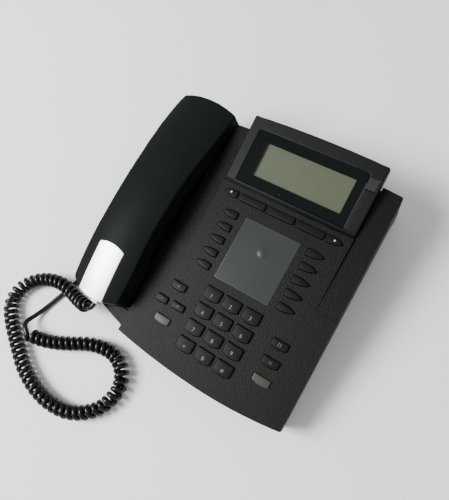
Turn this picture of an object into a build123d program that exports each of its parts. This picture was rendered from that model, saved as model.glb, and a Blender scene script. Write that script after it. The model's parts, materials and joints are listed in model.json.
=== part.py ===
"""Desk telephone with a corded handset, a tilting display and 34 push keys.

Millimetres, +X right, +Y to the rear, +Z up, standing on z = 0.
The keypad face slopes up to the rear. Key 2 is the reference point of that face:
everything on the base is placed from it, in the frame called face.
"""
from build123d import *
import os
from math import acos, hypot, pi, radians, sqrt, tan

os.makedirs("parts", exist_ok=True)

# ---- the frames the phone is laid out in -----------------------------------------------------
centre = (29.52, -44.12)          # key 2 in plan, from the middle of the phone
key_height = 41.4                 # top of key 2 above the desk
face_slope = 11.0                 # keypad face, degrees
cradle_slope = 7.4                # floor under the handset
cradle_height = 28.8              # that floor, level with key 2
base_slope = 4.0                  # underside of the lower housing
parting_slope = 6.2               # joint between the two housings

face = Location((*centre, key_height), (face_slope, 0, 0))
cradle = Location((*centre, cradle_height), (cradle_slope, 0, 0))

# ---- base housings ---------------------------------------------------------------------------
front_radius, front_y = 415.0, -72.7      # bowed front edge, in plan
panel_radius, panel_join = 650.0, 10.0    # flatter bow of the keypad face's left part
left_x, right_x, right_rear_x = -138.0, 82.5, 81.0
rear_y, rear_bow = 141.0, 5.0
corner = 1.5                      # rounding of the corners, in plan
wall = 2.4
panel_w = -1.6                    # keypad face, below the key tops
wing_half, wing_start, wing_slope, wing_step = 62.5, 28.5, 1.7, 0.4
step_x, step_rear_x = -83.0, -79.0        # wall between the keys and the handset
step_flare = (104.0, 120.0)
parting_z, underside_z = 13.0, 3.0        # at the front edge
lip, lip_inset = 2.5, 2.8         # the lower housing's rim goes up inside the upper one
pocket_depth = 2.0                # where the handset's two caps rest
mouth_pocket, ear_pocket = (-50.0, -11.0), (110.0, 170.0)

# ---- keys ------------------------------------------------------------------------------------
key_travel = 1.2
key_gap = 0.35                    # round each key in its hole
flange, flange_thick = 0.7, 1.0
key_foot_w = -5.4                 # underside of a key
column, row = 19.5, 16.2
side_u = 41.2                     # direct keys, either side of the label
side_top, side_pitch = 69.5, 12.5
soft_v, soft_u, scroll_u = 86.6, 27.9, 49.9
label = (54.0, 59.3)              # label window, width and height
label_v = 43.55

# ---- display ---------------------------------------------------------------------------------
hinge_v, hinge_w = 100.4, -6.0
hinge_radius, display_lift = 5.4, 6.0
display_half, display_top, display_bow = 62.5, 59.5, 1.8
display_thick, rear_thick = 10.0, 7.6      # at the hinge, and 80 behind it
recess_half, recess_v, recess_w = 63.2, 94.6, -12.2
pin_radius, pin_reach = 1.5, 2.6
lens_box = (-52.5, -0.2, 50.5, 47.6)      # low x, low y, high x, high y
lcd_box = (-44.5, 6.5, 45.5, 41.0)

# ---- handset ---------------------------------------------------------------------------------
handset_u, handset_mid = -112.7, 51.0     # its centre over the cradle
handset_turn = -0.7               # it lies a little askew
half_width, ear_half = 27.3, 29.8
half_length = 105.5
mouth_bow, ear_bow, ear_corner = 8.0, 3.5, 3.0    # its two ends, in plan
edge_height, arch_radius = 36.0, 380.0    # long edge of the top, above the cradle
crown = 5.5
shell = 2.2
split = 9.0                       # top shell's side, below its long edge

handset = cradle * Location((handset_u, handset_mid, 0), (0, 0, handset_turn))

# ---- cord ------------------------------------------------------------------------------------
coil_diameter, lead_diameter = 14.4, 4.6

written = []


def save(shape, name):
    """Write one piece to its own file."""
    shape.label = name
    export_step(shape, f"parts/{name}.step")
    written.append((name, shape))


def group(solids):
    return Compound(children=list(solids))


def block(x0, x1, y0, y1, z0, z1):
    """A box given by its corners."""
    return Pos((x0 + x1) / 2, (y0 + y1) / 2, (z0 + z1) / 2) * Box(x1 - x0, y1 - y0, z1 - z0)


def above(frame, w):
    """All of the room above a sloping plane."""
    return frame * block(-400, 400, -400, 400, w, w + 300)


def rounded(half_x, half_y, radius):
    return RectangleRounded(2 * half_x, 2 * half_y, radius)


# ==== base ====================================================================================
def front_edge(x):
    """Plan depth of the bowed front edge at x."""
    return front_y + front_radius - sqrt(front_radius ** 2 - x ** 2)


def panel_nose():
    """The left part of the keypad face, whose front edge stands a little ahead of the bay's."""
    middle_x = panel_join * (1 - panel_radius / front_radius)
    to_middle = sqrt(front_radius ** 2 - panel_join ** 2) * panel_radius / front_radius
    middle_y = front_edge(panel_join) + to_middle

    def ahead(x):
        return middle_y - sqrt(panel_radius ** 2 - (x - middle_x) ** 2)

    halfway = (step_x + panel_join) / 2
    edges = Curve() + [
        ThreePointArc((step_x, ahead(step_x)), (halfway, ahead(halfway)), (panel_join, ahead(panel_join))),
        Polyline((panel_join, ahead(panel_join)), (panel_join, 0), (step_x, 0), (step_x, ahead(step_x))),
    ]
    return make_face(edges)


def base_outline(inset):
    """The base seen from above, drawn in by inset."""
    left_front, right_front = (left_x, front_edge(left_x)), (right_x, front_edge(right_x))
    right_rear, left_rear = (right_rear_x, rear_y), (left_x, rear_y)
    edges = Curve() + [
        ThreePointArc(left_front, (0, front_y), right_front),
        Line(right_front, right_rear),
        ThreePointArc(right_rear, ((left_x + right_x) / 2, rear_y + rear_bow), left_rear),
        Line(left_rear, left_front),
    ]
    outline = make_face(edges)
    outline = fillet(outline.vertices(), corner)
    nose = panel_nose()
    if inset:
        outline = offset(outline, -inset, kind=Kind.INTERSECTION)
        nose = offset(nose, -inset, kind=Kind.INTERSECTION)
    return Pos(*centre) * (outline + nose)


def handset_bay(inset):
    """The open bay that the handset lies in, grown by inset."""
    wall_x, rear_x = step_x + inset, step_rear_x + inset
    plan = Polyline((-200, -120), (wall_x, -120), (wall_x, step_flare[0]), (rear_x, step_flare[1]),
                    (rear_x, 220), (-200, 220), close=True)
    return cradle * Pos(0, 0, -inset) * extrude(make_face(plan), 120)


def cap_pockets(inset):
    """Shallow pockets in the bay's floor for the mouth and ear caps."""
    half = half_width + 1.2 + inset
    ear = ear_half + 1.2 + inset
    mouth = block(-half, half, mouth_pocket[0] - handset_mid - inset,
                  mouth_pocket[1] - handset_mid + inset, -pocket_depth - inset, 20)
    far = block(-ear, ear, ear_pocket[0] - handset_mid - inset, ear_pocket[1] - handset_mid,
                -pocket_depth - inset, 20)
    return handset * (mouth + far)


def display_bay(inset):
    """The bay that the display folds down into, open to the rear."""
    half = recess_half + inset
    return face * block(-half, half, recess_v - inset, 260, recess_w - inset, 80)


def base_block(inset):
    """The whole base as one solid, drawn in by inset on every face but the underside."""
    body = extrude(base_outline(inset), 110)
    body -= above(face, panel_w - inset)
    fall = face * Location((0, wing_start, panel_w - wing_step - inset), (-wing_slope, 0, 0))
    wings = block(wing_half - inset, 200, 0, 300, 0, 60) + block(-200, inset - wing_half, 0, 300, 0, 60)
    body -= fall * wings
    body -= handset_bay(inset)
    body -= cap_pockets(inset)
    body -= display_bay(inset)
    return body


parting = Location((*centre, parting_z - front_y * tan(radians(parting_slope))), (parting_slope, 0, 0))
underside = Location((*centre, underside_z - front_y * tan(radians(base_slope))), (base_slope, 0, 0))


# ==== keys ====================================================================================
def number_key(half_x, half_y, bulge):
    """Straight top and sides with a bowed lower edge."""
    low = -half_y + bulge
    edges = Curve() + [
        Polyline((-half_x, low), (-half_x, half_y), (half_x, half_y), (half_x, low)),
        ThreePointArc((half_x, low), (0, -half_y), (-half_x, low)),
    ]
    return fillet(make_face(edges).vertices(), 1.0)


def drop_key(half_x, half_y, point):
    """Flat end towards the middle of the phone, narrow end away from it; point is -1 or 1."""
    flat, tip = -point * half_x, point * half_x
    edges = Curve() + [
        Line((flat, -half_y), (flat, half_y)),
        ThreePointArc((flat, half_y), (0.3 * tip, 0.93 * half_y), (tip, 0.35 * half_y)),
        Line((tip, 0.35 * half_y), (tip, -0.15 * half_y)),
        ThreePointArc((tip, -0.15 * half_y), (0.3 * tip, -0.86 * half_y), (flat, -half_y)),
    ]
    return fillet(make_face(edges).vertices(), 0.7)


def key_list():
    """Every key: its name, place on the face, outline, and height above the key 2 level."""
    keys = []
    names = ["1", "2", "3", "4", "5", "6", "7", "8", "9", "star", "0", "hash"]
    for index, name in enumerate(names):
        keys.append((f"key_{name}", (index % 3 - 1) * column, -(index // 3) * row,
                     number_key(8.1, 6.0, 2.2), 0.0))
    small = number_key(7.5, 3.9, 1.7)
    keys.append(("key_menu", -50.5, -8.5, small, -0.2))
    keys.append(("key_volume_down", -59.3, -24.9, rounded(6.2, 3.3, 1.4), -0.2))
    keys.append(("key_volume_up", -42.2, -24.2, rounded(6.7, 3.3, 1.4), -0.2))
    keys.append(("key_mute", -49.7, -40.9, number_key(7.8, 3.8, 1.5), -0.2))
    keys.append(("key_redial", 50.8, -8.1, small, -0.2))
    keys.append(("key_hold", 50.9, -24.0, small, -0.2))
    keys.append(("key_speaker", 51.1, -40.2, number_key(7.8, 3.8, 1.5), -0.2))
    for index in range(5):
        v = side_top - index * side_pitch
        keys.append((f"key_direct_left_{index + 1}", -side_u, v, drop_key(7.4, 3.0, -1), -0.2))
        keys.append((f"key_direct_right_{index + 1}", side_u, v, drop_key(7.6, 3.0, 1), -0.2))
    for index in range(3):
        keys.append((f"key_soft_{index + 1}", (index - 1) * soft_u, soft_v, rounded(13.0, 3.3, 0.8), -0.2))
    keys.append(("key_scroll_left", -scroll_u, soft_v, drop_key(6.7, 3.0, -1), -0.2))
    keys.append(("key_scroll_right", scroll_u, soft_v, drop_key(6.7, 3.0, 1), -0.2))
    return keys


keys = key_list()


def key_solid(outline, top):
    """A cap that is drawn in at the top by a small bevel, on a skirt with a flange under the panel."""
    skirt = extrude(outline, top - key_foot_w)
    skirt = chamfer(skirt.faces().sort_by(Axis.Z)[-1].edges(), 0.5)
    rim = extrude(offset(outline, flange, kind=Kind.ARC), flange_thick)
    return Pos(0, 0, key_foot_w) * (skirt + rim)


def key_holes(keys):
    depth = wall + 4
    return [face * Pos(u, v, panel_w - wall - 2) * extrude(offset(outline, key_gap, kind=Kind.ARC), depth)
            for name, u, v, outline, top in keys]


# ==== jacks ===================================================================================
port_y = rear_y + rear_bow - lip_inset - wall - 0.8     # just inside the lower housing's rear wall
port_size, port_depth = (12.0, 8.0), 13.0
port_wall = 2.0                   # of the block that holds the two network ports
port_u, port_z = (-20.0, 2.0), 27.0
jack_y, jack_z, jack_size = 4.0, 16.2, (8.2, 7.2)
jack_x = left_x + lip_inset


def rear_port(u, grow, depth):
    """The mouth of one network port: a box that starts behind the phone and goes in by depth."""
    half, height = port_size[0] / 2 + grow, port_size[1] / 2 + grow
    return Pos(*centre, 0) * block(u - half, u + half, port_y + 6 - depth, port_y + 6,
                                   port_z - height, port_z + height)


def side_jack(grow, depth):
    """The mouth of the handset jack: a box that starts left of the phone and goes in by depth."""
    half, height = jack_size[0] / 2 + grow, jack_size[1] / 2 + grow
    return Pos(*centre, 0) * block(jack_x - 6, jack_x - 6 + depth, jack_y - half, jack_y + half,
                                   jack_z - height, jack_z + height)


# ==== handset =================================================================================
def handset_body(inset):
    """The handset as one solid in its own frame, drawn in by inset."""
    wide, ear, reach = half_width - inset, ear_half - inset, half_length - inset
    mouth_left, mouth_right = (1 - wide, mouth_bow - reach), (wide - 1, mouth_bow - reach)
    ear_left, ear_right = (0.5 - ear, reach - ear_bow), (ear - 0.5, reach - ear_bow)
    edges = Curve() + [
        ThreePointArc(mouth_right, (0, -reach), mouth_left),
        Spline(mouth_left, (-wide, -60), (-wide, 20), (-ear, 80), ear_left, tangents=((-0.1, 1), (0.06, 1))),
        ThreePointArc(ear_left, (0, reach), ear_right),
        Spline(ear_right, (ear, 80), (wide, 20), (wide, -60), mouth_right, tangents=((0.06, -1), (-0.1, -1))),
    ]
    outline = make_face(edges)
    ear_end = outline.vertices().filter_by(lambda v: v.Y > 80)
    plan = extrude(fillet(ear_end, ear_corner - inset), 80, both=True)
    side = Polyline((-half_length - 5, 9), (-98, -1.7), (-64, -1.7), (-52, 16), (-20, 18.6), (20, 18.6),
                    (49, 16), (61, -1.7), (97, -1.7), (half_length + 6, 14), (half_length + 6, 70),
                    (-half_length - 5, 70), close=True)
    profile = make_face(side)
    low = profile.vertices().filter_by(lambda v: v.Y < 65 and abs(v.X) < half_length + 4)
    profile = fillet(low, 5.0)
    if inset:
        profile = offset(profile, -inset, kind=Kind.INTERSECTION)
    length = Plane.YZ * profile
    body = plan & extrude(length, 60, both=True)
    return body & arch(edge_height - inset, crown)


def arch(height, rise):
    """A ring about the arch's own centre: its rim is crowned, and height is that of its edges."""
    rim = arch_radius + height - edge_height
    hub = Pos(0, 0, edge_height - arch_radius)
    far = ear_half + 6
    section = make_face(Curve() + [
        Polyline((-far, rim - 3), (-far, 300), (far, 300), (far, rim - 3)),
        ThreePointArc((far, rim - 3), (0, rim + rise), (-far, rim - 3)),
    ])
    return hub * Rotation(-25, 0, 0) * revolve(Plane.XZ * section, Axis.X, 50)


def handset_core():
    """The drum inside the handset's arch, whose rim is the joint between the two shells."""
    hub = Pos(0, 0, edge_height - arch_radius)
    return hub * Rotation(0, 90, 0) * Cylinder(arch_radius - split, 120)


badge_left, badge_right, badge_end, badge_bow = -14.4, 13.2, -57.0, 3.0     # in the handset's frame
badge_thick = 0.7
ear_cap_y, mouth_cap_y = 79.0, -81.0
tail_jack = (-2.6, 8.4)           # x and height of the plug in the handset's end


# ==== cord ====================================================================================
def place(x, y, z):
    """A point given from key 2 in plan and from the desk in height."""
    return (centre[0] + x, centre[1] + y, z)


floor_coil = coil_diameter / 2 + 0.2
floor_lead = lead_diameter / 2 + 0.1

tail_route = [(-116.7, -59.6, 29.5), (-116.75, -63.8, 29.0), (-119.1, -66.6, 27.3), (-122.6, -66.8, 25.3)]
coil_route = [
    (-122.75, -66.8, 25.2), (-133.5, -67.5, 19.2), (-149.0, -65.2, 14.8), (-166.0, -61.8, 13.8),
    (-184.5, -64.8, 10.4), (-201.5, -73.5, 7.8), (-212.8, -89.5, floor_coil),
    (-210.5, -107.0, floor_coil), (-197.5, -119.5, floor_coil), (-177.0, -133.0, floor_coil),
    (-150.0, -150.0, floor_coil), (-117.0, -158.5, floor_coil), (-84.0, -154.0, floor_coil),
    (-61.0, -133.5, floor_coil), (-57.5, -106.0, floor_coil), (-77.0, -88.5, floor_coil),
    (-105.0, -92.0, floor_coil), (-132.0, -108.5, floor_coil), (-156.0, -118.5, floor_coil),
    (-169.4, -119.6, floor_coil),
]
lead_route = [
    (-169.5, -119.6, 9.6), (-176.0, -119.6, 9.8), (-180.6, -114.0, 8.0), (-178.6, -102.5, 3.8),
    (-175.4, -91.0, floor_lead), (-170.4, -75.0, floor_lead), (-163.5, -54.0, floor_lead),
    (-158.6, -31.0, floor_lead), (-158.4, -13.0, 4.6), (-155.8, -2.0, 11.6),
    (-150.2, 4.0, jack_z), (-142.7, 4.0, jack_z),
]


def turn_radii(points):
    """Arc radius at each corner: 0.45 of the shorter run over the tangent of half the turn."""
    radii = []
    for before, corner, after in zip(points, points[1:], points[2:]):
        entry = [b - a for a, b in zip(before, corner)]
        leave = [b - a for a, b in zip(corner, after)]
        in_length, out_length = hypot(*entry), hypot(*leave)
        turn = acos(sum(a * b for a, b in zip(entry, leave)) / (in_length * out_length))
        radii.append(0.45 * min(in_length, out_length) / tan(turn / 2))
    return radii


def tube(route, diameter):
    """A round tube along straight runs joined by tangent arcs."""
    points = [place(*point) for point in route]
    radii = turn_radii(points)
    path = FilletPolyline(*points, radius=radii)
    section = Plane(origin=path @ 0, z_dir=path % 0) * Circle(diameter / 2)
    solid = sweep(section, path)
    print(f"  radii {min(radii):.1f} to {max(radii):.1f}, length {path.length:.1f},",
          f"volume ratio {solid.volume / (path.length * pi * diameter ** 2 / 4):.4f}")
    return solid


# ==== make the base ===========================================================================
screw_spots = [(-126.0, -30.0), (71.0, -46.0), (71.0, 84.0), (-126.0, 88.0)]
screw_radius, screw_head, head_depth = 1.25, 2.8, 1.2
plunger_at = (0.0, 74.0)          # in the handset's frame, under the ear cap
plunger_half, plunger_low = (4.5, 2.6), -8.7
plunger_clear = 0.35
speaker_at, speaker_radius = (-106.0, 52.0), 18.0
slot_pitch = 6.0                  # sound slots under the loudspeaker


def screw_post(x, y):
    """A post under the upper housing that a screw from below goes into."""
    post = (Pos(*place(x, y, 50)) * Cylinder(3.4, 100)) & outer & above(underside, wall + 0.05)
    return post - Pos(*place(x, y, 0)) * Cylinder(screw_radius + 0.05, 50)


def make_upper_housing():
    shape = outer - base_block(wall)
    shape -= parting * block(-400, 400, -400, 400, -300, 0)
    for spot in screw_spots:
        shape += screw_post(*spot)
    for hole in key_holes(keys):
        shape -= hole
    shape -= face * block(-label[0] / 2, label[0] / 2, label_v - label[1] / 2, label_v + label[1] / 2,
                          panel_w - 1.3, 20)
    pin_hole = Rotation(0, 90, 0) * Cylinder(pin_radius + 0.05, 2 * (recess_half + pin_reach + 0.6))
    shape -= hinge * pin_hole
    plunger_room = Box(2 * (plunger_half[0] + plunger_clear), 2 * (plunger_half[1] + plunger_clear), 12)
    shape -= handset * Pos(*plunger_at, -5) * plunger_room
    return shape


def make_lower_housing():
    shape = extrude(base_outline(lip_inset), 80) & above(underside, 0)
    shape -= extrude(base_outline(lip_inset + wall), 80) & above(underside, wall)
    shape -= above(parting, lip)
    shape &= base_block(wall)
    for u in port_u:
        shape -= rear_port(u, 0.4, 12)
    shape -= side_jack(0.3, 12)
    for x, y in screw_spots:
        foot = underside_at(y)
        shape -= Pos(*place(x, y, foot)) * Cylinder(screw_head + 0.3, 2 * head_depth)
        shape -= Pos(*place(x, y, foot)) * Cylinder(screw_radius + 0.25, 20)
    for index in range(-2, 3):
        shape -= Pos(*place(speaker_at[0], speaker_at[1] + index * slot_pitch, 0)) * Box(26, 2.2, 60)
    return shape


def underside_at(y):
    """Height of the lower housing's underside at a depth measured from key 2."""
    return underside_z + (y - front_y) * tan(radians(base_slope))


outer = base_block(0)
hinge = face * Location((0, hinge_v, hinge_w), (display_lift, 0, 0))
save(make_upper_housing(), "upper_housing")
save(make_lower_housing(), "lower_housing")

# the stand under the rear, with a rounded lobe at each end, and the four rubber feet
lobe_radius, foot_height = 14.0, 3.0
lobe_right, lobe_left, lobe_y = 66.0, -112.0, 147.0
bar_y, bar_deep = 133.0, 18.0     # the bar that joins the lobes
stand_plan = Sketch() + [Pos(x, lobe_y) * Circle(lobe_radius) for x in (lobe_right, lobe_left)]
stand_plan += Pos((lobe_right + lobe_left) / 2, bar_y) * Rectangle(lobe_right - lobe_left, bar_deep)
stand = Pos(*centre, foot_height) * extrude(stand_plan, 40) - above(underside, 0)
save(stand, "rear_stand")

foot_radius = 8.0
front_feet = [Pos(*place(x, y, 10)) * Cylinder(foot_radius, 20) - above(underside, 0)
              for x, y in ((-110.0, -30.0), (62.0, -48.0))]
rear_feet = [Pos(*place(x, lobe_y, foot_height / 2)) * Cylinder(foot_radius, foot_height)
             for x in (lobe_right, lobe_left)]
save(group(front_feet + rear_feet), "rubber_feet")

screws = []
for x, y in screw_spots:
    seat = underside_at(y) + head_depth
    head = Pos(*place(x, y, seat - 0.45)) * Cylinder(screw_head, 0.9)
    screws.append(head + Pos(*place(x, y, seat + 4)) * Cylinder(screw_radius, 8.1))
save(group(screws), "housing_screws")

# label card under its clear cover
card_half, card_height = label[0] / 2 - 0.2, label[1] / 2 - 0.2
card_low = panel_w - 1.3
layers = (("label_card", card_low, card_low + 0.3), ("label_cover", card_low + 0.32, panel_w + 0.1))
for name, low, high in layers:
    save(face * block(-card_half, card_half, label_v - card_height, label_v + card_height, low, high), name)

# rubber mat with a dome under every key, and the circuit board below it
dome_w = key_foot_w - key_travel - 0.15
mat = block(-67, 60, -58, 90, dome_w - 1.4, dome_w - 0.4)
for name, u, v, outline, top in keys:
    mat += Pos(u, v, dome_w - 0.3) * Cylinder(2.4, 0.6)
save(face * mat, "keypad_mat")

board_w, board_thick = -11.0, 1.6
board_low = board_w - board_thick
board = face * block(-76, 66, -58, 88, board_low, board_w)
chip_list = [                     # corner, width, depth and height of each part under the board
    (-12, 20, 22, 22, 1.6), (22, 24, 14, 10, 1.4), (-48, 44, 16, 18, 3.0),
    (34, -20, 12, 8, 2.0), (-40, -14, 10, 10, 3.0),
]
chips = [face * block(u, u + wide, v, v + deep, board_low - high, board_low)
         for u, v, wide, deep, high in chip_list]
switch_low = -14.8                # top of the small board under the hook plunger
switch_board = handset * block(-14, 14, 58, 79, switch_low - board_thick, switch_low)
hook_switch = handset * block(-5, 5, 71, 77, switch_low, -9.0)
save(group([board, switch_board, hook_switch] + chips), "main_board")

speaker_place = Pos(*place(*speaker_at, underside_at(speaker_at[1]) + 6.6)) * Rotation(base_slope, 0, 0)
magnet_radius = 10.5
speaker = Cylinder(speaker_radius, 4) + Pos(0, 0, 5) * Cylinder(magnet_radius, 7)
save(speaker_place * speaker, "base_speaker")

# network ports at the rear and the handset jack at the left, behind their openings
port_side, port_back = port_size[0] / 2 + port_wall, port_size[1] / 2 + port_wall
ports = Pos(*centre, 0) * block(port_u[0] - port_side, port_u[1] + port_side, port_y - port_depth - 3,
                                port_y + 0.1, port_z - port_back, port_z + port_back)
for u in port_u:
    ports -= rear_port(u, 0, 6 + port_depth)
jack = Pos(*centre, 0) * block(jack_x + wall + 0.1, jack_x + 17, jack_y - 5.5, jack_y + 5.5,
                               jack_z - 4.6, jack_z + 4.6)
jack -= side_jack(0, 20.5)
save(group([ports, jack]), "jacks")

# hook plunger: the ear cap holds it down, and it rises when the handset is lifted
half_x, half_y = plunger_half
plunger = block(-half_x, half_x, -half_y, half_y, plunger_low, -pocket_depth)
plunger += block(-half_x - 1, half_x + 1, -half_y - 1, half_y + 1, plunger_low, plunger_low + 1)
save(handset * Pos(*plunger_at, 0) * plunger, "hook_plunger")

for name, u, v, outline, top in keys:
    save(face * Pos(u, v, 0) * key_solid(outline, top), name)


# ==== make the display ========================================================================
def display_body(inset):
    """The tilting display as one solid about its hinge axis, drawn in by inset."""
    half, top_y = display_half - inset, display_top - inset
    edges = Curve() + [
        Polyline((-half, top_y - display_bow), (-half, -20), (half, -20), (half, top_y - display_bow)),
        ThreePointArc((half, top_y - display_bow), (0, top_y), (-half, top_y - display_bow)),
    ]
    plan = make_face(edges)
    rear = plan.vertices().filter_by(lambda v: v.Y > 0)
    slab = Polyline((0, hinge_radius), (80, hinge_radius), (80, hinge_radius - rear_thick),
                    (0, hinge_radius - display_thick), close=True)
    side = make_face(slab) + Circle(hinge_radius)
    if inset:
        side = offset(side, -inset, kind=Kind.INTERSECTION)
    return extrude(fillet(rear, 1.0), 40, both=True) & extrude(Plane.YZ * side, 80, both=True)


def hinge_pin(x0, x1):
    """One of the two pins that the display turns on."""
    return Pos((x0 + x1) / 2, 0, 0) * Rotation(0, 90, 0) * Cylinder(pin_radius, abs(x1 - x0))


display_wall, display_split = 1.8, 1.6
case = display_body(0) - display_body(display_wall)
front_half = block(-200, 200, -200, 200, display_split, 100)
lens_x0, lens_y0, lens_x1, lens_y1 = lens_box
lens_low, lens_high = hinge_radius - display_wall, hinge_radius - 0.15
frame = case & front_half
frame -= block(lens_x0 - 0.1, lens_x1 + 0.1, lens_y0 - 0.1, lens_y1 + 0.1, 0, 20)
lamp = block(51.5, 60.0, 35.3, 45.0, lens_low, hinge_radius + 0.05)
lamp += block(50.8, 52.0, lens_y0 - 0.1, 40.0, lens_low, hinge_radius + 0.05)
frame -= block(51.4, 60.1, 35.2, 45.1, 0, 20) + block(50.5, 52.1, lens_y0 - 0.1, 40, 0, 20)
save(hinge * frame, "display_frame")

back = case - front_half
pin_end = recess_half + pin_reach - 0.4
for way in (-1, 1):
    back += hinge_pin(way * (display_half - 1.0), way * pin_end)
save(hinge * back, "display_back")
save(hinge * block(lens_x0, lens_x1, lens_y0, lens_y1, lens_low + 0.1, lens_high), "display_lens")
save(hinge * lamp, "light_pipe")
lcd_x0, lcd_y0, lcd_x1, lcd_y1 = lcd_box
save(hinge * block(lcd_x0, lcd_x1, lcd_y0, lcd_y1, -0.6, lens_low), "lcd_panel")


# ==== make the handset ========================================================================
handset_solid = handset_body(0)
hollow = handset_solid - handset_body(shell)
badge_edges = Curve() + [
    Polyline((badge_left, badge_end), (badge_left, -200), (badge_right, -200), (badge_right, badge_end)),
    ThreePointArc((badge_right, badge_end), ((badge_left + badge_right) / 2, badge_end + badge_bow),
                  (badge_left, badge_end)),
]
badge_room = extrude(make_face(badge_edges), 100, both=True)
badge_skin = handset_solid - handset_body(badge_thick)
badge_depth = 4.0                 # how far it reaches down the mouth end
badge_drum = Rotation(0, 90, 0) * Cylinder(arch_radius - badge_depth, 120)
below_badge = Pos(0, 0, edge_height - arch_radius) * badge_drum
badge = (badge_skin & badge_room) - below_badge
save(handset * badge, "badge_plate")

lower_part = handset_core()
top_shell = hollow - lower_part - badge
save(handset * top_shell, "handset_top")

bottom_shell = hollow & lower_part
sound_hole, hole_ring = 1.2, 5.5
for turn in range(6):
    spot = Rotation(0, 0, turn * 60) * Pos(hole_ring, 0, 0)
    bottom_shell -= Pos(0, ear_cap_y, 0) * spot * Cylinder(sound_hole, 12)
bottom_shell -= Pos(0, ear_cap_y, 0) * Cylinder(sound_hole, 12)
for slot_x in (-4, 0, 4):
    bottom_shell -= Pos(slot_x, mouth_cap_y, 0) * Box(1.6, 8, 12)

plug_half = (3.85, 3.3)           # half width and half height of both plugs
plug_clear = 0.27                 # round a plug in its jack
plug_x, plug_z = tail_jack


def plug_block(grow, low_y, high_y):
    """The handset's plug, or with grow the jack that it goes into."""
    wide, high = plug_half[0] + grow, plug_half[1] + grow
    return block(plug_x - wide, plug_x + wide, low_y, high_y, plug_z - high, plug_z + high)


bottom_shell -= plug_block(plug_clear, -130, -96)
save(handset * bottom_shell, "handset_bottom")
save(handset * Pos(0, ear_cap_y, 3.8) * Cylinder(15, 6.2), "earpiece")
save(handset * Pos(0, mouth_cap_y, 3.2) * Cylinder(4.8, 5.0), "microphone")

# ==== make the cord ===========================================================================
save(handset * plug_block(0, -110.0, -97.0), "handset_plug")
plug_out, plug_in = 7.4, 13.0     # how far the base's plug stands out of its jack, and goes in
save(Pos(*centre, 0) * block(jack_x - plug_out, jack_x + plug_in, jack_y - plug_half[0], jack_y + plug_half[0],
                             jack_z - plug_half[1], jack_z + plug_half[1]), "base_plug")
save(tube(coil_route, coil_diameter), "cord_coil")
save(group([tube(tail_route, lead_diameter), tube(lead_route, lead_diameter)]), "cord_leads")

cord_names = ("cord_coil", "cord_leads", "base_plug", "handset_plug")
box = Compound(children=[shape for name, shape in written if name not in cord_names]).bounding_box()
print("pieces", len(written), "box without the cord", box.min, box.max)
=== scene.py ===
import json
import math
import bmesh
import bpy
from mathutils import Matrix, Vector


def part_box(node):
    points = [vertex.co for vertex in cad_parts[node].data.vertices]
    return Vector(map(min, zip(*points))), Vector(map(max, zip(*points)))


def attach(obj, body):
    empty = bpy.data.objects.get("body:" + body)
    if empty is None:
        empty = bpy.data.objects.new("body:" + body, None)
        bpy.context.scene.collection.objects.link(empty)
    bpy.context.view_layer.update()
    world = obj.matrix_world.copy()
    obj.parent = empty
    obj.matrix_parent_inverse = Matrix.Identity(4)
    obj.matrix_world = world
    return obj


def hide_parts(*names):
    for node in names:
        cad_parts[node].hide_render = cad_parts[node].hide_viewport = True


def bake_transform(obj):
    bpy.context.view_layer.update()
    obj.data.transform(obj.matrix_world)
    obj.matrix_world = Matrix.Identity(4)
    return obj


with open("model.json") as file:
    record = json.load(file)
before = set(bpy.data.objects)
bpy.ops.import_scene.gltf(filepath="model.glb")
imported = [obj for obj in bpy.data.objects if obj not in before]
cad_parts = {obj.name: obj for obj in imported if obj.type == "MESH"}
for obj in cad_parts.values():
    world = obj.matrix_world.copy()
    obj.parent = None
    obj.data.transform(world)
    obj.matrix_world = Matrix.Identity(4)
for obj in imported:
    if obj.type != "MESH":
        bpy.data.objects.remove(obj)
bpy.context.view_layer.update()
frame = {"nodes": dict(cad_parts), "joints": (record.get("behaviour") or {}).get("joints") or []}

# ---- camera -----------------------------------------------------------------------
# The viewer stands at the phone's right front corner and looks down on it, with the
# camera turned so that the phone lies askew in view.
camera_right, camera_up, camera_back = (0.827, 0.527, -0.194), (-0.441, 0.824, 0.357), (0.348, -0.209, 0.914)
lens = bpy.data.cameras.new("camera")
lens.lens, lens.sensor_width = 32.4, 36
lens.clip_start, lens.clip_end = 0.01, 20
camera = bpy.data.objects.new("camera", lens)
bpy.context.collection.objects.link(camera)
turn = Matrix((camera_right, camera_up, camera_back)).transposed()
camera.matrix_world = Matrix.Translation((0.13532, -0.08762, 0.4038)) @ turn.to_4x4()
bpy.context.scene.camera = camera

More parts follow.
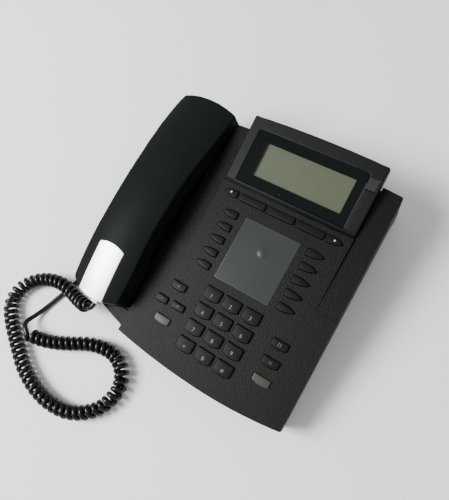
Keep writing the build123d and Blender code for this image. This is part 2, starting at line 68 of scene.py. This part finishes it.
# ---- handset cord -------------------------------------------------------------------
# One black wire, wound into a springy coil from the handset's end to just short of its
# own first branch, then straight back under that branch to the jack in the base's side.
# It is a round line swept along the middle of the wire, in two lengths: the first turns, which
# stretch on the real cord as the handset is lifted, and the rest, which lies on the desk.
key_2 = Vector((0.02952, -0.04412, 0))           # the phone's layout point, in plan
wire, coil_width, coil_pitch = 0.0046, 0.0144, 0.0064
floor_coil, floor_lead, jack_height = 0.0074, 0.0024, 0.0162
tail_route = [(-0.1167, -0.0596, 0.0295), (-0.11675, -0.0638, 0.0290), (-0.1191, -0.0666, 0.0273)]
coil_route = [
    (-0.12275, -0.0668, 0.0252), (-0.1335, -0.0675, 0.0192), (-0.1490, -0.0652, 0.0148),
    (-0.1660, -0.0618, 0.0138), (-0.1845, -0.0648, 0.0104), (-0.2015, -0.0735, 0.0078),
    (-0.2128, -0.0895, floor_coil), (-0.2105, -0.1070, floor_coil), (-0.1975, -0.1195, floor_coil),
    (-0.1770, -0.1330, floor_coil), (-0.1500, -0.1500, floor_coil), (-0.1170, -0.1585, floor_coil),
    (-0.0840, -0.1540, floor_coil), (-0.0610, -0.1335, floor_coil), (-0.0575, -0.1060, floor_coil),
    (-0.0770, -0.0885, floor_coil), (-0.1050, -0.0920, floor_coil), (-0.1320, -0.1085, floor_coil),
    (-0.1560, -0.1185, floor_coil), (-0.1694, -0.1196, floor_coil),
]
lead_route = [
    (-0.1755, -0.1165, 0.0132), (-0.1803, -0.1120, 0.0102), (-0.1786, -0.1025, 0.0050),
    (-0.1754, -0.0910, floor_lead), (-0.1704, -0.0750, floor_lead), (-0.1635, -0.0540, floor_lead),
    (-0.1586, -0.0310, floor_lead), (-0.1584, -0.0130, 0.0046), (-0.1558, -0.0020, 0.0116),
    (-0.1502, 0.0040, jack_height), (-0.1427, 0.0040, jack_height),
]


def smooth_line(points, steps):
    """The line down a smooth curve that has these points as its control points."""
    curve = bpy.data.curves.new("line", "CURVE")
    curve.dimensions = "3D"
    spline = curve.splines.new("NURBS")
    spline.points.add(len(points) - 1)
    for control, point in zip(spline.points, points):
        control.co = (*point, 1)
    spline.order_u = 3
    spline.use_endpoint_u = True
    spline.resolution_u = steps
    bare = bpy.data.objects.new("line", curve)
    mesh = bpy.data.meshes.new_from_object(bare)
    line = [vertex.co.copy() for vertex in mesh.vertices]
    bpy.data.meshes.remove(mesh)
    bpy.data.curves.remove(curve)
    return line[:1] + [b for a, b in zip(line, line[1:]) if (b - a).length > 0.000001]


def evenly(line, step):
    """The same line with points evenly spaced, about step apart."""
    along = [0.0]
    for a, b in zip(line, line[1:]):
        along.append(along[-1] + (b - a).length)
    count = max(2, round(along[-1] / step))
    spaced, k = [], 0
    for n in range(count + 1):
        at = along[-1] * n / count
        while k < len(line) - 2 and along[k + 1] < at:
            k += 1
        share = (at - along[k]) / max(along[k + 1] - along[k], 1e-9)
        spaced.append(line[k].lerp(line[k + 1], min(share, 1)))
    return spaced


def winding(route):
    """The wire's own points round a coil's axis. It spirals out from the axis and ends on top of the coil."""
    per_turn, turns_to_full_width = 14, 0.6
    axis = evenly(smooth_line(route, 24), coil_pitch / per_turn)
    radius = (coil_width - wire) / 2 / math.cos(math.pi / per_turn) ** 0.5
    wound, side = [], Vector((0, 0, 1))
    for k in reversed(range(len(axis))):
        along = (axis[min(k + 1, len(axis) - 1)] - axis[max(k - 1, 0)]).normalized()
        side = (side - along * side.dot(along)).normalized()
        turns = -(len(axis) - 1 - k) / per_turn
        turned = math.tau * turns
        uneven = 1 + 0.006 * math.sin(1.9 * turns) + 0.005 * math.sin(1.7 * turns)
        growing = min(1, k / (turns_to_full_width * per_turn))
        reach = radius * uneven * growing
        wound.append(axis[k] + (side * math.cos(turned) + along.cross(side) * math.sin(turned)) * reach)
    return wound[::-1]


def swept(name, line, thick):
    """A round rod along a line, closed at both ends."""
    curve = bpy.data.curves.new(name, "CURVE")
    curve.dimensions = "3D"
    spline = curve.splines.new("POLY")
    spline.points.add(len(line) - 1)
    for control, point in zip(spline.points, line):
        control.co = (*point, 1)
    curve.bevel_depth, curve.bevel_resolution = thick / 2, 3
    curve.use_fill_caps = True
    rod = bpy.data.objects.new(name, curve)
    mesh = bpy.data.meshes.new_from_object(rod)
    bpy.data.objects.remove(rod)
    mesh.name = name
    piece = bpy.data.objects.new(name, mesh)
    bpy.context.collection.objects.link(piece)
    mesh.shade_smooth()
    return piece


tail, coil, lead = ([Vector(point) for point in route] for route in (tail_route, coil_route, lead_route))
controls = tail + winding(coil) + lead
wire_line = [key_2 + p for p in smooth_line(controls, 3)]
stretch_end = key_2.x - 0.186                    # where the turns that lift give way to the rest
parted = next(k for k, p in enumerate(wire_line) if p.x < stretch_end)
lifting_line, lying_line = wire_line[:parted + 1], wire_line[parted:]


def length_of(line):
    return sum((b - a).length for a, b in zip(line, line[1:]))


cord_lifting = swept("cord_lifting", lifting_line, wire)
cord_lying = swept("cord_lying", lying_line, wire)
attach(cord_lying, "base")
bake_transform(cord_lifting)
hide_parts("cord_coil", "cord_leads")


class Value:
    """A shader socket that can be used in sums, as a number can."""

    def __init__(self, finish, socket):
        self.finish, self.socket = finish, socket

    def sum(self, operation, first, second):
        return self.finish.node("Math", {"operation": operation}, first, second)

    def __add__(self, other):
        return self.sum("ADD", self, other)

    __radd__ = __add__

    def __sub__(self, other):
        return self.sum("SUBTRACT", self, other)

    def __rsub__(self, other):
        return self.sum("SUBTRACT", other, self)

    def __mul__(self, other):
        return self.sum("MULTIPLY", self, other)

    __rmul__ = __mul__

    def __gt__(self, other):
        return self.sum("GREATER_THAN", self, other)

    def __lt__(self, other):
        return self.sum("LESS_THAN", self, other)


class Finish:
    """A material whose shader is a Principled one, and the nodes that feed it."""

    def __init__(self, name, **settings):
        self.material = bpy.data.materials.new(name)
        self.material.use_nodes = True
        self.tree = self.material.node_tree
        self.shader = self.tree.nodes["Principled BSDF"]
        self.place = self.node("TexCoord", out="Object")
        self.feed(**settings)

    def node(self, kind, settings=None, *values, out=0, **named):
        """Adds a node, with its settings first, then its sockets; gives one of its outputs."""
        node = self.tree.nodes.new("ShaderNode" + kind)
        for name, value in (settings or {}).items():
            setattr(node, name, value)
        for key, value in [*enumerate(values), *named.items()]:
            key = key if isinstance(key, int) else key.replace("_", " ")
            self.join(node.inputs[key], value)
        return Value(self, node.outputs[out])

    def join(self, socket, value):
        if isinstance(value, Value):
            self.tree.links.new(value.socket, socket)
        else:
            socket.default_value = value

    def feed(self, **sockets):
        for name, value in sockets.items():
            if isinstance(value, tuple) and len(value) == 3:
                value = (*value, 1)
            self.join(self.shader.inputs[name.replace("_", " ")], value)

    def noise(self, scale, detail, rough=0.5):
        """Cloudy noise from 0 to 1, with scale features to a metre."""
        return self.node("TexNoise", {}, Vector=self.place, Scale=scale, Detail=detail, Roughness=rough)

    def blend(self, share, first, second):
        """Mixes two colours."""
        mixed = self.node("Mix", {"data_type": "RGBA"}, out=2)
        node = mixed.socket.node
        self.join(node.inputs[0], share)
        for socket, colour in ((node.inputs[6], first), (node.inputs[7], second)):
            self.join(socket, colour if isinstance(colour, Value) else (*colour, 1))
        return mixed

    def ramp(self, value, low, high):
        """0 below low, 1 above high, and smooth between."""
        return self.node("MapRange", {"interpolation_type": "SMOOTHSTEP"}, value, low, high, 0.0, 1.0)

    def bump(self, height, depth):
        """Bumps of about this depth in metres, as a normal."""
        self.feed(Normal=self.node("Bump", {}, Strength=1.0, Distance=depth, Height=height))


def coat(piece, finish):
    """Gives a piece one finish all over."""
    piece.data.materials.clear()
    piece.data.materials.append(finish.material)


def plastic(name, dark, light, rough, grain_depth, grain_scale=2600, **more):
    """Moulded plastic: fine grain, and a little dust and wear in its colour and gloss."""
    finish = Finish(name, **more)
    grain = finish.noise(grain_scale, 1.0)
    cloud = finish.noise(28, 4.0, 0.6)
    speck = finish.ramp(grain, 0.35, 0.75)
    finish.feed(Base_Color=finish.blend(speck * 0.5 + cloud * 0.5, dark, light),
                Roughness=rough + 0.10 * (cloud - 0.5) + 0.08 * (grain - 0.5))
    finish.bump(grain, grain_depth)
    return finish


cord_finish = plastic("cord_pvc", (0.0018, 0.0018, 0.0020), (0.0040, 0.0040, 0.0045), 0.26, 0.00002, 900,
                      Specular_IOR_Level=0.28)
for piece in (cord_lifting, cord_lying):
    coat(piece, cord_finish)


# ---- cord plugs -------------------------------------------------------------------------
# The clear four-way plugs on the cord's two ends: a polycarbonate block with a sprung latch
# under it and four contact slots at its tip. Each clicks into its jack.
plug_width, plug_height, latch_width = 0.0077, 0.0066, 0.0032


def modelled(name):
    """The primitive that was just added, named, with its place in its mesh."""
    piece = bpy.context.object
    piece.name = piece.data.name = name
    bpy.ops.object.transform_apply(location=True, rotation=True, scale=True)
    return piece


def pick_faces(piece, wanted):
    """In edit mode, selects only the faces whose centre and normal are wanted."""
    edit = bmesh.from_edit_mesh(piece.data)
    for face in edit.faces:
        face.select_set(False)
    for face in edit.faces:
        if wanted(face.calc_center_median(), face.normal):
            face.select_set(True)
    edit.select_flush(True)
    bmesh.update_edit_mesh(piece.data)


def finish_with(piece, kind, **settings):
    """Adds a modifier to a piece and applies it."""
    bpy.ops.object.select_all(action="DESELECT")
    piece.select_set(True)
    bpy.context.view_layer.objects.active = piece
    bpy.ops.object.modifier_add(type=kind)
    modifier = piece.modifiers[-1]
    for key, value in settings.items():
        setattr(modifier, key, value)
    bpy.ops.object.modifier_apply(modifier=modifier.name)


def plug(name, long):
    """A plug along -Y, from its cord end at y = 0 to its tip at y = long, about its middle."""
    bpy.ops.object.select_all(action="DESELECT")
    bpy.ops.mesh.primitive_cube_add(size=1, location=(0, long / 2, 0))
    bpy.context.object.scale = (plug_width, long, plug_height)
    piece = modelled(name)
    bpy.ops.object.mode_set(mode="EDIT")
    bpy.ops.mesh.select_all(action="SELECT")
    bpy.ops.mesh.subdivide(number_cuts=4)
    pick_faces(piece, lambda at, way: way.z < -0.9 and abs(at.x) < latch_width / 2 and at.y > 0.35 * long)
    bpy.ops.mesh.inset(thickness=0.0002, depth=-0.0012)
    pick_faces(piece, lambda at, way: way.z > 0.9 and at.y > 0.7 * long and abs(at.x) < 0.7 * plug_width / 2)
    bpy.ops.mesh.inset(thickness=0.0002, depth=-0.0008, use_individual=True)
    bpy.ops.object.mode_set(mode="OBJECT")
    finish_with(piece, "BEVEL", width=0.00025, segments=2, limit_method="ANGLE")
    piece.data.shade_smooth()
    return piece


clear_plastic = plastic("clear_plug", (0.42, 0.42, 0.41), (0.52, 0.52, 0.51), 0.12, 0.00001, Alpha=0.8)
cradle_turn = Matrix.Rotation(math.radians(7.4), 4, "X")
handset_middle = Matrix.Translation(key_2 + Vector((0, 0, 0.0288))) @ cradle_turn \
    @ Matrix.Translation((-0.1127, 0.051, 0)) @ Matrix.Rotation(math.radians(-0.7), 4, "Z")
handset_plug = plug("handset_cord_plug", 0.013)
handset_plug.data.transform(handset_middle @ Matrix.Translation((-0.0026, -0.110, 0.0084)))
base_plug = plug("base_cord_plug", 0.0204)
base_plug.data.transform(Matrix.Translation(key_2 + Vector((-0.1426, 0.004, jack_height)))
                         @ Matrix.Rotation(math.radians(-90), 4, "Z"))
for piece, body, stands_for in ((handset_plug, "handset", "handset_plug"),
                                (base_plug, "base", "base_plug")):
    coat(piece, clear_plastic)
    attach(piece, body)
    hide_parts(stands_for)
length_of(lifting_line)
length_of(lying_line)

# ---- base housings ------------------------------------------------------------------------
# Two ABS mouldings, screwed together from below: the charcoal upper one with a fine leathery
# grain, which also forms the handset's bay, and the matt black tray under it.
node = frame["nodes"]
housing = plastic("grained_charcoal", (0.0008, 0.0008, 0.0008), (0.0082, 0.0078, 0.0075), 0.50, 0.00036, 1050,
                  Specular_IOR_Level=0.115)
tray = plastic("matt_black", (0.003, 0.003, 0.003), (0.006, 0.006, 0.006), 0.62, 0.00010,
               Specular_IOR_Level=0.15)
coat(node["upper_housing"], housing)
coat(node["lower_housing"], tray)
coat(node["hook_plunger"], tray)
coat(node["jacks"], tray)

# ---- stand, feet and screws -----------------------------------------------------------------
# A mid-grey stand clipped under the rear, four rubber feet glued into rings, and four
# zinc-plated screws that hold the housings together.
stand_grey = plastic("stand_grey", (0.20, 0.20, 0.19), (0.27, 0.27, 0.26), 0.5, 0.00006)
soft_rubber = plastic("rubber", (0.010, 0.010, 0.010), (0.018, 0.018, 0.018), 0.78, 0.00006)
zinc = plastic("zinc_plate", (0.45, 0.45, 0.46), (0.58, 0.58, 0.57), 0.32, 0.00002, Metallic=1.0)
coat(node["rear_stand"], stand_grey)
coat(node["rubber_feet"], soft_rubber)
coat(node["housing_screws"], zinc)

# ---- parts inside ---------------------------------------------------------------------------
# A silicone mat with a dome under every key, the green circuit board that it presses on,
# and the loudspeaker's steel frame behind the slots in the tray.
board_green = plastic("board_green", (0.012, 0.07, 0.028), (0.02, 0.10, 0.04), 0.36, 0.00003)
coat(node["keypad_mat"], soft_rubber)
coat(node["main_board"], board_green)
for name in ("base_speaker", "earpiece", "microphone"):
    coat(node[name], zinc)

# ---- label ------------------------------------------------------------------------------------
# A grey-green paper card for the names of the direct keys, under a sheet of semi-matt
# polyester that is pressed into the face. The sheet has lifted a little in one place.
face_turn = Matrix.Translation(key_2 + Vector((0, 0, 0.0414))) @ Matrix.Rotation(math.radians(11), 4, "X")
label_middle = Vector((0, 0.04355))
label_width, label_depth, label_thick = 0.0536, 0.0589, 0.0009
blister_at, blister_radius, blister_rise = Vector((0.0014, 0.0078)), 0.0056, 0.00056
bpy.ops.object.select_all(action="DESELECT")
bpy.ops.mesh.primitive_grid_add(x_subdivisions=72, y_subdivisions=80, size=1)
bpy.context.object.scale = (label_width, label_depth, 1)
label_sheet = modelled("label_sheet")
for vertex in label_sheet.data.vertices:
    away = (vertex.co.xy - blister_at).length / blister_radius
    if away < 1:
        vertex.co.z = blister_rise * (1 - away * away) ** 2
bpy.ops.object.mode_set(mode="EDIT")
bpy.ops.mesh.select_all(action="SELECT")
bpy.ops.mesh.extrude_region_move(TRANSFORM_OT_translate={"value": (0, 0, -label_thick)})
bpy.ops.mesh.select_all(action="SELECT")
bpy.ops.mesh.normals_make_consistent(inside=False)
bpy.ops.object.mode_set(mode="OBJECT")
finish_with(label_sheet, "BEVEL", width=0.0002, segments=2, limit_method="ANGLE", angle_limit=math.radians(60))
label_sheet.data.shade_smooth()
label_sheet.data.transform(face_turn @ Matrix.Translation((*label_middle, -0.0015)))
sheet = plastic("label_sheet", (0.0232, 0.0268, 0.0243), (0.0262, 0.0300, 0.0274), 0.26, 0.0,
                Specular_IOR_Level=0.16)
coat(label_sheet, sheet)
coat(node["label_card"], plastic("label_card", (0.08, 0.09, 0.083), (0.09, 0.10, 0.093), 0.7, 0.00001))
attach(label_sheet, "base")
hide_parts("label_cover")


# ---- number keys --------------------------------------------------------------------------------
# Twelve dark grey caps with a softly crowned top and a bowed lower edge, moulded in one size,
# each with its figure printed in pale grey. They stand on the domes of the mat.
key_dark = plastic("key_dark", (0.0038, 0.0037, 0.0038), (0.0072, 0.0070, 0.0071), 0.42, 0.00003, 2200,
                   Specular_IOR_Level=0.075)
key_print = plastic("key_print", (0.13, 0.13, 0.125), (0.17, 0.17, 0.165), 0.5, 0.0, Specular_IOR_Level=0.2)


number_keys = ["key_5", "key_1", "key_2", "key_3", "key_4", "key_6", "key_7", "key_8", "key_9",
               "key_star", "key_0", "key_hash"]


def copy_of(name, original):
    """A second piece with a mesh of its own."""
    piece = bpy.data.objects.new(name, original.data.copy())
    bpy.context.collection.objects.link(piece)
    return piece


def copied(name, source):
    """A piece that starts as a copy of a moulded solid, with its corners merged."""
    piece = copy_of(name, node[source])
    bpy.ops.object.select_all(action="DESELECT")
    piece.select_set(True)
    bpy.context.view_layer.objects.active = piece
    bpy.ops.object.mode_set(mode="EDIT")
    bpy.ops.mesh.select_all(action="SELECT")
    bpy.ops.mesh.remove_doubles(threshold=0.00001)
    bpy.ops.object.mode_set(mode="OBJECT")
    return piece


def softened(name, source, grain, passes):
    """A copy of a moulded solid whose edges are rounded over, as a mould leaves them."""
    piece = copied(name, source)
    finish_with(piece, "REMESH", mode="VOXEL", voxel_size=grain)
    finish_with(piece, "SMOOTH", factor=0.5, iterations=passes)
    piece.data.shade_smooth()
    return piece


def crowned(piece, rise, shoulder=0.0012):
    """Domes a key's top gently. Only what lies above the shoulder is lifted."""
    upright = face_turn.inverted()
    piece.data.transform(upright)
    low = [min(v.co[i] for v in piece.data.vertices) for i in range(3)]
    high = [max(v.co[i] for v in piece.data.vertices) for i in range(3)]
    for vertex in piece.data.vertices:
        u = (2 * vertex.co.x - low[0] - high[0]) / (high[0] - low[0])
        v = (2 * vertex.co.y - low[1] - high[1]) / (high[1] - low[1])
        if vertex.co.z > high[2] - shoulder:
            near = (vertex.co.z - high[2] + shoulder) / shoulder
            vertex.co.z += rise * near * max(0, 1 - u * u) * max(0, 1 - v * v)
    piece.data.transform(face_turn)


def fitted(piece, stands_for, body, finish):
    """Gives a piece its finish and its body, and hides the solid that it stands for."""
    coat(piece, finish)
    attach(piece, body)
    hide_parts(stands_for)


def set_of_keys(names, rise, finish):
    """Models the first key of a set and lays copies of it in the others' places."""
    first = softened(names[0] + "_cap", names[0], 0.00032, 5)
    crowned(first, rise)
    start = Vector(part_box(names[0])[0])
    for name in names:
        piece = first
        if name != names[0]:
            piece = copy_of(name + "_cap", first)
            piece.data.transform(Matrix.Translation(Vector(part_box(name)[0]) - start))
        fitted(piece, name, name, finish)


def printed(name, key, sign, size, finish, over=0.0):
    """Prints a figure on a key's top, a hair proud of it."""
    text = bpy.data.curves.new(name, "FONT")
    text.body, text.size, text.extrude = sign, size, 0.00006
    flat = bpy.data.objects.new(name, text)
    mesh = bpy.data.meshes.new_from_object(flat)
    bpy.data.objects.remove(flat)
    across, up = ([v.co[i] for v in mesh.vertices] for i in (0, 1))
    mesh.transform(Matrix.Translation((-(min(across) + max(across)) / 2, -(min(up) + max(up)) / 2, 0)))
    figure = bpy.data.objects.new(name, mesh)
    bpy.context.collection.objects.link(figure)
    low, high = (Vector(corner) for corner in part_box(key))
    key_middle = face_turn.inverted() @ ((low + high) / 2)
    proud = 0.00036 if key in number_keys else 0.00016
    mesh.transform(face_turn @ Matrix.Translation((key_middle.x, key_middle.y + over, proud)))
    coat(figure, finish)
    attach(figure, key)


set_of_keys(number_keys, 0.00042, key_dark)
for key in number_keys:
    sign = {"key_star": "*", "key_hash": "#"}.get(key, key[-1])
    printed(key + "_figure", key, sign, 0.0046, key_print, over=-0.0016)

# ---- function keys ---------------------------------------------------------------------------------
# Seven smaller caps either side of the number keys. Two of them, for mute and for the
# loudspeaker, are translucent pale grey and let a lamp shine through.
key_pale = plastic("key_pale", (0.024, 0.0236, 0.0212), (0.056, 0.0555, 0.0500), 0.36, 0.00003, 2200,
                   Specular_IOR_Level=0.13)
key_mark = plastic("key_mark", (0.015, 0.015, 0.015), (0.02, 0.02, 0.02), 0.5, 0.0)
set_of_keys(["key_menu", "key_redial", "key_hold"], 0.00040, key_dark)
set_of_keys(["key_volume_down"], 0.00035, key_dark)
set_of_keys(["key_volume_up"], 0.00035, key_dark)
set_of_keys(["key_mute", "key_speaker"], 0.00040, key_pale)
printed("key_volume_down_mark", "key_volume_down", "-", 0.0042, key_print)
printed("key_volume_up_mark", "key_volume_up", "+", 0.0036, key_print)
printed("key_menu_mark", "key_menu", "=", 0.0036, key_print)
printed("key_redial_mark", "key_redial", "[ ]", 0.0030, key_print)
printed("key_hold_mark", "key_hold", "| |", 0.0028, key_print)
printed("key_mute_mark", "key_mute", "/", 0.0030, key_mark)
printed("key_speaker_mark", "key_speaker", "[ ]", 0.0030, key_mark)

# ---- direct keys -----------------------------------------------------------------------------------
# Five slim caps down each side of the label, flat towards it and narrowing away from it.
set_of_keys([f"key_direct_left_{n}" for n in range(1, 6)], 0.00045, key_dark)
set_of_keys([f"key_direct_right_{n}" for n in range(1, 6)], 0.00045, key_dark)

# ---- soft keys --------------------------------------------------------------------------------------
# Three long caps under the display, and a scroll key with a small white arrow at each end.
set_of_keys(["key_soft_1", "key_soft_2", "key_soft_3"], 0.00030, key_dark)
arrow_white = plastic("arrow_white", (0.62, 0.62, 0.60), (0.70, 0.70, 0.68), 0.5, 0.0)
bpy.ops.object.select_all(action="DESELECT")
bpy.ops.mesh.primitive_cone_add(vertices=3, radius1=0.00115, radius2=0.00105, depth=0.0002,
                                rotation=(0, 0, math.radians(-90)))
right_arrow = modelled("key_scroll_right_arrow")
finish_with(right_arrow, "BEVEL", width=0.00004, segments=2, limit_method="ANGLE")
left_arrow = copy_of("key_scroll_left_arrow", right_arrow)
left_arrow.data.transform(Matrix.Rotation(math.radians(180), 4, "Z"))
for key, arrow in (("key_scroll_left", left_arrow), ("key_scroll_right", right_arrow)):
    set_of_keys([key], 0.00035, key_dark)
    low, high = (Vector(corner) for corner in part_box(key))
    at = face_turn.inverted() @ ((low + high) / 2)
    arrow.data.transform(face_turn @ Matrix.Translation((at.x, at.y, 0.00012)))
    coat(arrow, arrow_white)
    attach(arrow, key)

# ---- display case ------------------------------------------------------------------------------------
# A charcoal frame snapped on a shallow back, which turns on two pins in the base. Three
# fine ridges for a fingertip run along the rolled edge at its front.
display_grey = plastic("display_charcoal", (0.0020, 0.0024, 0.0025), (0.0052, 0.0057, 0.0059), 0.46,
                       0.00014, 1300, Specular_IOR_Level=0.13)
hinge = Vector(next(joint["pos_m"] for joint in frame["joints"] if joint["name"] == "display_tilt"))
display_turn = Matrix.Translation(hinge) @ Matrix.Rotation(math.radians(17), 4, "X")
bezel = softened("display_bezel", "display_frame", 0.00065, 3)
fitted(bezel, "display_frame", "display", display_grey)
coat(node["display_back"], display_grey)
bpy.ops.object.select_all(action="DESELECT")
bpy.ops.mesh.primitive_cylinder_add(vertices=20, radius=0.0004, depth=0.1235, rotation=(0, math.radians(90), 0))
ridge = modelled("display_ridge_1")
finish_with(ridge, "BEVEL", width=0.0002, segments=2, limit_method="ANGLE")
ridge.data.shade_smooth()
ridges = [ridge, copy_of("display_ridge_2", ridge), copy_of("display_ridge_3", ridge)]
rolled_edge = 0.0053                             # the edge's radius about the hinge
for ridge, angle in zip(ridges, (12, 32, 52)):
    roll = math.radians(angle)
    on_edge = Matrix.Translation((0, -rolled_edge * math.sin(roll), rolled_edge * math.cos(roll)))
    ridge.data.transform(display_turn @ on_edge)
    coat(ridge, display_grey)
    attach(ridge, "display")

# ---- display window ------------------------------------------------------------------------------------
# A clear acrylic window, printed glossy black on its back round the liquid crystal panel,
# with a lamp's grey light pipe at its upper right and a pinhole microphone below the panel.
# At the panel's left edge the black fades softly into the clear part: that fade is a painted shadow.
window = Finish("window", Roughness=0.12, Specular_IOR_Level=0.15)
at = window.node("Mapping", {"vector_type": "TEXTURE"}, Location=hinge, Rotation=(math.radians(17), 0, 0),
                 Vector=window.place)
across = window.node("SeparateXYZ", {}, at)
up_face = Value(window, across.socket.node.outputs[1])
# Over its left few millimetres the clear part fades into the black print: painted shadow where the window's
# edge shades the panel.
clear_left, clear_right, clear_low, clear_high, painted_shadow_left = -0.0422, 0.043, 0.0085, 0.0392, -0.0384
inside = (window.ramp(across, clear_left, painted_shadow_left) * (across < clear_right)
          * (up_face > clear_low) * (up_face < clear_high))
window.feed(Base_Color=window.blend(inside, (0.0022, 0.0030, 0.0034), (0.02, 0.02, 0.02)),
            Alpha=1 - 0.86 * inside)
coat(node["display_lens"], window)
lcd = plastic("lcd", (0.092, 0.112, 0.066), (0.114, 0.134, 0.083), 0.45, 0.0, Specular_IOR_Level=0.2)
coat(node["lcd_panel"], lcd)
light_grey = plastic("light_window", (0.017, 0.0175, 0.0185), (0.022, 0.0225, 0.0235), 0.32, 0.00002,
                     Specular_IOR_Level=0.2)
coat(node["light_pipe"], light_grey)
bpy.ops.object.select_all(action="DESELECT")
bpy.ops.mesh.primitive_cylinder_add(vertices=24, radius=0.0005, depth=0.0003)
pinhole = modelled("pinhole_rim")
bpy.ops.object.mode_set(mode="EDIT")
pick_faces(pinhole, lambda at, way: way.z > 0.9)
bpy.ops.mesh.inset(thickness=0.0002, depth=-0.00015)
bpy.ops.object.mode_set(mode="OBJECT")
finish_with(pinhole, "BEVEL", width=0.00006, segments=2, limit_method="ANGLE")
pinhole.data.transform(display_turn @ Matrix.Translation((-0.010, 0.0022, 0.00530)))
coat(pinhole, light_grey)
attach(pinhole, "display")

# ---- handset ---------------------------------------------------------------------------------------------
# Two satin black ABS shells glued along a line low on their sides. The upper one is a long
# shallow arch, and a thin silver-white plate is set flush in its mouth end.
handset_black = plastic("satin_black", (0.0054, 0.0066, 0.0068), (0.0090, 0.0106, 0.0110), 0.40, 0.00003, 2000,
                        Specular_IOR_Level=0.02)
badge_white = plastic("badge_white", (0.93, 0.905, 0.86), (0.96, 0.94, 0.90), 0.36, 0.00001, Metallic=0.35,
                      Specular_IOR_Level=0.8)
upper_shell = softened("handset_upper_shell", "handset_top", 0.0009, 5)
fitted(upper_shell, "handset_top", "handset", handset_black)
lower_shell = softened("handset_lower_shell", "handset_bottom", 0.0009, 4)
fitted(lower_shell, "handset_bottom", "handset", handset_black)
badge = softened("badge_blank", "badge_plate", 0.00032, 2)
fitted(badge, "badge_plate", "handset", badge_white)

# ---- desk and light --------------------------------------------------------------------------------------
# A pale matt desk top, one broad soft lamp high at the phone's left front, and an even
# pale room round it.
bpy.ops.object.select_all(action="DESELECT")
bpy.ops.mesh.primitive_plane_add(size=6, location=(0, 0, 0))
desk = modelled("desk")
desk_top = Finish("desk_top", Roughness=0.9, Specular_IOR_Level=0.2)
drift = desk_top.noise(2.2, 3.0, 0.5)
desk_top.feed(Base_Color=desk_top.blend(drift, (0.76, 0.765, 0.735), (0.86, 0.86, 0.835)))
coat(desk, desk_top)

room = bpy.data.worlds.new("room")
bpy.context.scene.world = room
room.use_nodes = True
room.node_tree.nodes["Background"].inputs[0].default_value = (0.93, 0.96, 0.94, 1)
room.node_tree.nodes["Background"].inputs[1].default_value = 0.72
lamp_shape = bpy.data.lights.new("lamp", "AREA")
lamp_shape.shape, lamp_shape.size, lamp_shape.energy = "SQUARE", 0.8, 72
lamp = bpy.data.objects.new("lamp", lamp_shape)
bpy.context.collection.objects.link(lamp)
lamp.location = (-1.0, -0.72, 1.28)
lamp.rotation_euler = (-lamp.location).to_track_quat("-Z", "Y").to_euler()
